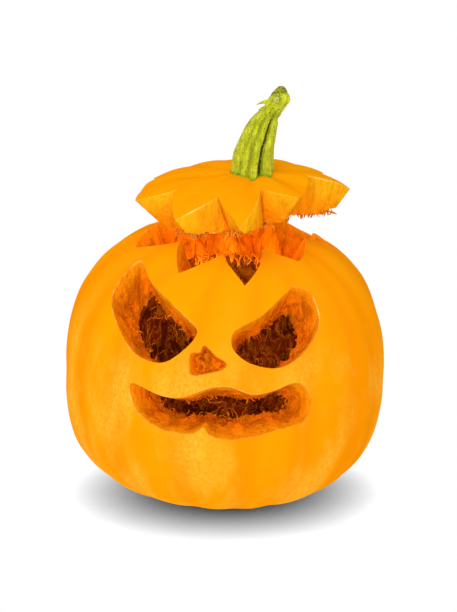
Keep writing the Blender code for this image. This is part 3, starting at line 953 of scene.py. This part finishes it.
def shell_piece():
    """Hollow pumpkin with its face and its zig-zag rim cut out."""
    shell = ball("carved_shell", SKIN_TURNS, SKIN_LEVELS, skin_points)
    for material in (rind_finish("rind", **RIND_LOOK), flesh_finish("cut_flesh", **FLESH_LOOK),
                     pulp_finish("inside_pulp", **PULP_LOOK)):
        shell.data.materials.append(material)
    carve(shell,
          ball("cavity", CAVITY_TURNS, CAVITY_LEVELS, pulp_points, PULP),
          lid_cutter("rim_cut", 3, 1.0),
          face_cutter("left_eye_cut", LEFT_EYE, THROUGH_DEPTH, EYE_TAPER, EYE_DROP, 11),
          face_cutter("right_eye_cut", RIGHT_EYE, THROUGH_DEPTH, EYE_TAPER, EYE_DROP, 12),
          face_cutter("mouth_cut", MOUTH, THROUGH_DEPTH, MOUTH_TAPER, MOUTH_DROP, 13),
          face_cutter("nose_cut", NOSE, NOSE_DEPTH, NOSE_TAPER, NOSE_DROP, 14,
                      NOSE_FLOOR_RINGS),
          block_below("floor_cut", FLAT_SPOT_DEPTH - HEIGHT_BELOW, 0.0, RIND, 2))
    note_surface(shell.data)
    return settle(shell, Matrix.Translation(MIDDLE))


def lid_place():
    """Matrix that takes the lid from its seat to where it is held up."""
    move = Matrix.Translation(LID_PIVOT + Vector((*LID_SLIDE, LID_LIFT)))
    turn = Matrix.Rotation(math.radians(LID_TURN), 4, "Z")
    roll = Matrix.Rotation(math.radians(LID_ROLL), 4, "Y")
    return Matrix.Translation(MIDDLE) @ move @ turn @ roll @ Matrix.Translation(-LID_PIVOT)


def lid_piece():
    """Plug of the zig-zag cut, with a torn underside, held up off its seat."""
    lid = ball("zigzag_lid", SKIN_TURNS, SKIN_LEVELS, skin_points)
    for material in (rind_finish("lid_rind", **LID_RIND_LOOK),
                     flesh_finish("lid_flesh", **LID_FLESH_LOOK),
                     pulp_finish("lid_pulp", **LID_PULP_LOOK)):
        lid.data.materials.append(material)
    carve(lid,
          ball("lid_hollow", CAVITY_TURNS, CAVITY_LEVELS, pulp_points, PULP),
          lid_cutter("lid_sides", 3, -1.0),
          block_below("lid_underside", LID_UNDERSIDE, UNDERSIDE_RELIEF, PULP, 200),
          others={"lid_sides": "INTERSECT"})
    note_surface(lid.data)
    return settle(lid, lid_place())


def stem_foot():
    """Middle of the stalk's foot, where the lid has its seat."""
    way = directions(*STEM_END)
    return way * rind_radius(way[None])[0] - (0, 0, STEM_SINK)


def stem_spine(height):
    """Shift to the right and radius of the stalk at heights above its foot."""
    heights, shifts, radii = np.array(STEM_SPINE).T
    spread = np.add.outer(height, STEM_SMOOTHING)
    return (np.interp(spread, heights, shifts).mean(axis=-1),
            np.interp(spread, heights, radii).mean(axis=-1))


def stem_grooves(turn, height):
    """How deep in a groove a point lies, for its turn from the front and its height."""
    share = np.zeros(len(turn))
    fade = np.clip((STEM_GROOVE_END - height) / STEM_GROOVE_FADE, 0.0, 1.0)
    for place, depth in STEM_GROOVES:
        off = (turn - place - STEM_TWIST * height / STEM_HEIGHT + 180) % 360 - 180
        share += depth * bell(off, STEM_GROOVE_WIDTH)
    return share * fade


def stem_flap(name, root, tip):
    """Split sliver of the stalk's end that sticks out sideways."""
    rings = []
    turns = np.linspace(0, 2 * math.pi, FLAP_SIDES, endpoint=False)
    for along in FLAP_PLACES:
        middle = root + (tip - root) * along + (0, 0, FLAP_ARCH * math.sin(math.pi * along))
        thin = 1 - along ** FLAP_TAPER
        rings.append(middle + np.stack((0 * turns, FLAP_WIDTH * thin * np.cos(turns),
                                        FLAP_THICKNESS * thin * np.sin(turns)), axis=1))
    return keep(loft(rings, (root, tip)), name)


def stem_piece():
    """Ridged stalk with a hook to the right and a knobby, split end."""
    foot = stem_foot()
    turns = np.linspace(0, 360, STEM_SIDES, endpoint=False)
    across = np.stack((np.sin(np.radians(turns)), -np.cos(np.radians(turns))), axis=1)
    least, most = STEM_PUSH_MOST
    rings = []
    for height in np.linspace(-STEM_ROOT, STEM_HEIGHT, STEM_LEVELS):
        shift, radius = stem_spine(height)
        heights = np.full(STEM_SIDES, height)
        reach = radius * (1 - STEM_GROOVE_DEPTH * stem_grooves(turns, heights))
        ring = np.column_stack((shift + reach * across[:, 0], reach * across[:, 1], heights))
        push = STEM_RELIEF * fibres(ring, 21, *STEM_FIBRES)
        push += (ramp(height, KNOB_FROM, KNOB_OVER) * KNOB_LUMPS * bumps(ring, KNOB_LUMP_SIZE, 22)
                 + STEM_PITS * bumps(ring, STEM_PIT_SIZE, 23))
        off = np.linalg.norm(ring - STEM_SCAR, axis=1)
        push += SCAR_LIP * bell(off - SCAR_RADIUS, SCAR_WIDTH)
        push -= SCAR_PIT * bell(off, SCAR_WIDTH)
        neck = bell(heights - NECK_HEIGHT + NECK_SLANT * across[:, 1], NECK_WIDTH)
        push -= NECK_DEPTH * neck * np.clip(across[:, 0] + 0.1, 0.0, 1.0)
        push = np.clip(push, radius * least, radius * most)
        ring[:, :2] += across * push[:, None]
        rings.append(foot + ring)
    stem = keep(loft(rings, (rings[0].mean(axis=0), rings[-1].mean(axis=0))), "ridged_stem")
    stem.data.materials.append(stem_finish())
    flaps = [stem_flap(name, foot + root, foot + tip) for name, root, tip in STEM_FLAPS]
    carve(stem, *flaps, others={flap.name: "UNION" for flap in flaps})
    points = np.array([vert.co for vert in stem.data.vertices]) - foot
    off = points[:, 0] - stem_spine(points[:, 2])[0]
    reach = np.linalg.norm(points + foot, axis=1)
    above = reach - rind_radius((points + foot) / reach[:, None])
    turn = np.degrees(np.arctan2(off, -points[:, 1]))
    for name, values in (("groove", stem_grooves(turn, points[:, 2])),
                         ("along", np.clip(points[:, 2] / STEM_HEIGHT, 0, 1)),
                         ("above", above), ("scar", np.linalg.norm(points - STEM_SCAR, axis=1))):
        stem.data.attributes.new(name, "FLOAT", "POINT").data.foreach_set("value", values)
    return settle(stem, lid_place())


def thread_curves(name, paths, material):
    """Thin tapering threads along paths of points, each path with its own thickness."""
    curve = bpy.data.curves.new(name, "CURVE")
    curve.dimensions = "3D"
    curve.bevel_depth = 1.0
    curve.bevel_resolution = 1
    curve.use_fill_caps = True
    for path, thickness in paths:
        spline = curve.splines.new("POLY")
        spline.points.add(len(path) - 1)
        for i, point in enumerate(path):
            along = i / (len(path) - 1)
            spline.points[i].co = (*point, 1.0)
            full = THREAD_TIP + (1 - THREAD_TIP) * math.sin(math.pi * along)
            spline.points[i].radius = thickness * full
    holder = linked(name + "_curve", curve)
    mesh = made_mesh(holder)
    bpy.data.objects.remove(holder)
    mesh.materials.clear()
    mesh.materials.append(material)
    mesh.shade_smooth()
    return linked(name, mesh)


def wander(draw, start, heading, steps, stride, curl, droop=0.0):
    """Path of a curly thread."""
    heading = Vector(heading)
    path = [Vector(start)]
    for _ in range(steps):
        heading = heading.normalized() + Vector((draw.gauss(0, curl), draw.gauss(0, curl),
                                                 draw.gauss(-droop, curl)))
        path.append(path[-1] + heading.normalized() * stride)
    return path


def wall_threads(draw):
    """Paths of the pulp threads that cling in clumps to the inside wall."""
    paths = []
    low, high = WALL_THREADS_TOP
    for _ in range(WALL_CLUMPS):
        side = draw.uniform(-180, 180)
        rise = draw.uniform(-40, 60)
        for _ in range(draw.randint(3, 8)):
            sides = [side + draw.gauss(0, WALL_THREAD_SPREAD)]
            rises = [min(rise + draw.gauss(0, WALL_THREAD_SPREAD), low)]
            heading = draw.gauss(0, 0.9)
            for _ in range(draw.randint(4, 8)):
                heading += draw.gauss(0, 0.5)
                across = math.sin(heading) / math.cos(math.radians(rises[-1]))
                sides.append(sides[-1] + WALL_STEP_DEGREES * across)
                rises.append(min(rises[-1] + WALL_STEP_DEGREES * math.cos(heading), high))
            ways = directions(np.array(sides), np.array(rises))
            lift = abs(draw.gauss(0, 0.0016))
            arch = np.sin(np.linspace(0, math.pi, len(sides))) * lift + 0.0004
            points = ways * (cavity_radius(ways) - arch)[:, None] + np.array(MIDDLE)
            paths.append((points, draw.uniform(0.0002, 0.0006)))
    return paths


def edge_threads(draw):
    """Paths of the torn shreds round the inner edges of the eyes and the mouth."""
    paths = []
    for points, taper, drop, count in ((LEFT_EYE, EYE_TAPER, EYE_DROP, EYE_SHREDS),
                                       (RIGHT_EYE, EYE_TAPER, EYE_DROP, EYE_SHREDS),
                                       (MOUTH, MOUTH_TAPER, MOUTH_DROP, MOUTH_SHREDS)):
        outline = smooth_outline(points, OUTLINE_STEPS)
        middle = outline.mean(axis=0)
        for _ in range(count):
            share = draw.uniform(0.40, 0.72)
            flat = middle + (outline[draw.randrange(len(outline))] - middle) * (
                1 - np.array(taper) * share)
            way = directions(flat[0], flat[1] - drop * share)
            start = way * (rind_radius(way[None])[0] - THROUGH_DEPTH * share)
            inwards = directions(middle[0], middle[1] - drop) - way
            heading = Vector(unit(inwards)) * 0.5 + Vector((0, draw.gauss(0.2, 0.4),
                                                            draw.gauss(0, 0.7)))
            path = wander(draw, Vector(start) + MIDDLE, heading, draw.randint(3, 6),
                          SHRED_STRIDE, 0.45)
            paths.append((path, draw.uniform(0.00025, 0.00065)))
    return paths


def rim_threads(draw):
    """Paths of the shreds that hang where the zig-zag cut comes out inside."""
    paths = []
    points, knife, _, _ = ring_knife()
    inner = points.copy()
    for _ in range(60):
        reach = np.linalg.norm(inner, axis=1)
        outside = reach > cavity_radius(inner / reach[:, None])
        inner = inner + knife * (0.001 * outside)[:, None]
    for _ in range(RIM_TUFTS):
        at = Vector(inner[draw.randrange(len(inner))])
        for _ in range(draw.randint(2, 6)):
            start = at * draw.uniform(0.975, 1.0) + Vector((draw.gauss(0, 0.0018), 0, 0))
            start.z += draw.gauss(0, 0.0025)
            heading = (draw.gauss(0, 0.5), draw.gauss(0, 0.5), -0.6)
            path = wander(draw, start + MIDDLE, heading, draw.randint(4, 9),
                          THREAD_STRIDE, 0.45, 0.20)
            paths.append((path, draw.uniform(0.0003, 0.0009)))
    return paths


def hanging_threads(draw, place):
    """Paths of the threads that hang in tufts from the lid's torn underside."""
    paths = []
    points, knife, _, _ = ring_knife()
    edge = points + knife * ((LID_UNDERSIDE - points[:, 2]) / knife[:, 2])[:, None]
    for _ in range(LID_TUFTS):
        at = Vector(edge[draw.randrange(len(edge))])
        at -= Vector((at.x, at.y, 0)).normalized() * draw.uniform(0.0005, 0.008)
        reach = draw.randint(2, 7)
        for _ in range(draw.randint(3, 9)):
            start = at + Vector((draw.gauss(0, 0.0020), draw.gauss(0, 0.0020),
                                 draw.uniform(0.0, 0.003)))
            heading = (draw.gauss(0, 0.8), draw.gauss(0, 0.8), -0.5)
            path = wander(draw, place @ start, heading, reach, THREAD_STRIDE, 0.50, 0.12)
            paths.append((path, draw.uniform(0.0003, 0.0009)))
    return paths


# ---------------------------------------------------------------- room, light and camera

def sun(name, strength, softness, origin):
    """Soft sun that shines from a direction towards the middle."""
    lamp = bpy.data.lights.new(name, "SUN")
    lamp.energy = strength
    lamp.angle = math.radians(softness)
    thing = linked(name, lamp)
    thing.rotation_euler = (-Vector(origin)).to_track_quat("-Z", "Y").to_euler()


def white_floor():
    """Bright white floor with a soft neutral contact shadow."""
    work = bmesh.new()
    bmesh.ops.create_grid(work, x_segments=1, y_segments=1, size=FLOOR_SIZE)
    floor = keep(work, "floor")
    material = bpy.data.materials.new("white_floor")
    material.use_nodes = True
    tree = material.node_tree
    tree.nodes.clear()
    covered = node(tree, "ShaderNodeAmbientOcclusion",
                   {"Distance": SHADOW_REACH, "Normal": Vector(SHADOW_SIDE).normalized()},
                   samples=12)
    shade = sums(tree, "POWER", covered.outputs["AO"], SHADOW_DEPTH)
    seen = node(tree, "ShaderNodeEmission", {"Color": shade, "Strength": 1.0})
    glow = node(tree, "ShaderNodeEmission", {"Color": (1, 1, 1, 1), "Strength": FLOOR_GLOW})
    ray = node(tree, "ShaderNodeLightPath").outputs["Is Camera Ray"]
    both = node(tree, "ShaderNodeMixShader", {0: ray, 1: glow.outputs[0], 2: seen.outputs[0]})
    node(tree, "ShaderNodeOutputMaterial", {"Surface": both.outputs[0]})
    floor.data.materials.append(material)


def room_and_lights():
    """White room, two soft suns from the front, and a small lamp in the hollow."""
    world = bpy.data.worlds.new("white_room")
    world.use_nodes = True
    room = world.node_tree
    ray = node(room, "ShaderNodeLightPath").outputs["Is Camera Ray"]
    room.links.new(between(room, ray, 0.0, 1.0, WORLD_STRENGTH, 1.0),
                   room.nodes["Background"].inputs["Strength"])
    room.nodes["Background"].inputs["Color"].default_value = (1, 1, 1, 1)
    bpy.context.scene.world = world
    sun("key", KEY_STRENGTH, KEY_SOFTNESS, KEY_FROM)
    sun("front_fill", FILL_STRENGTH, FILL_SOFTNESS, FILL_FROM)
    lamp = bpy.data.lights.new("gap_fill", "POINT")
    lamp.energy = GAP_FILL
    lamp.shadow_soft_size = GAP_FILL_SIZE
    lamp.color = GAP_FILL_COLOUR
    thing = linked("gap_fill", lamp)
    thing.location = MIDDLE + GAP_FILL_PLACE
    thing.visible_camera = False


def camera():
    """Camera in front of the carved face, looking slightly down."""
    eye = bpy.data.cameras.new("camera")
    eye.lens = CAMERA_LENS
    thing = linked("camera", eye)
    thing.location = MIDDLE + CAMERA_PLACE
    thing.rotation_euler = (math.radians(90 - CAMERA_PITCH), 0, 0)
    bpy.context.scene.camera = thing


draw = random.Random(SEED)
shell = shell_piece()
lid = lid_piece()
stem = stem_piece()
inner_threads = thread_curves("pulp_threads_inside", wall_threads(draw),
                              thread_finish("inside_threads", *INSIDE_THREADS))
shreds = thread_curves("torn_shreds", edge_threads(draw) + rim_threads(draw),
                       thread_finish("shred_finish", *SHREDS))
lid_threads = thread_curves("pulp_threads_lid", hanging_threads(draw, lid_place()),
                            thread_finish("lid_thread_finish", *LID_THREADS))
for piece, slot, *nodes in ((shell, "pumpkin_skin", "shell"), (lid, "lid_skin", "lid"),
                            (stem, "stem_green", "stem"), (inner_threads, "pumpkin_skin"),
                            (shreds, "pumpkin_skin"), (lid_threads, "lid_skin")):
    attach(piece, "root")
    if nodes:
        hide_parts(*nodes)
white_floor()
room_and_lights()
camera()
bpy.context.scene.view_settings.view_transform = "Standard"
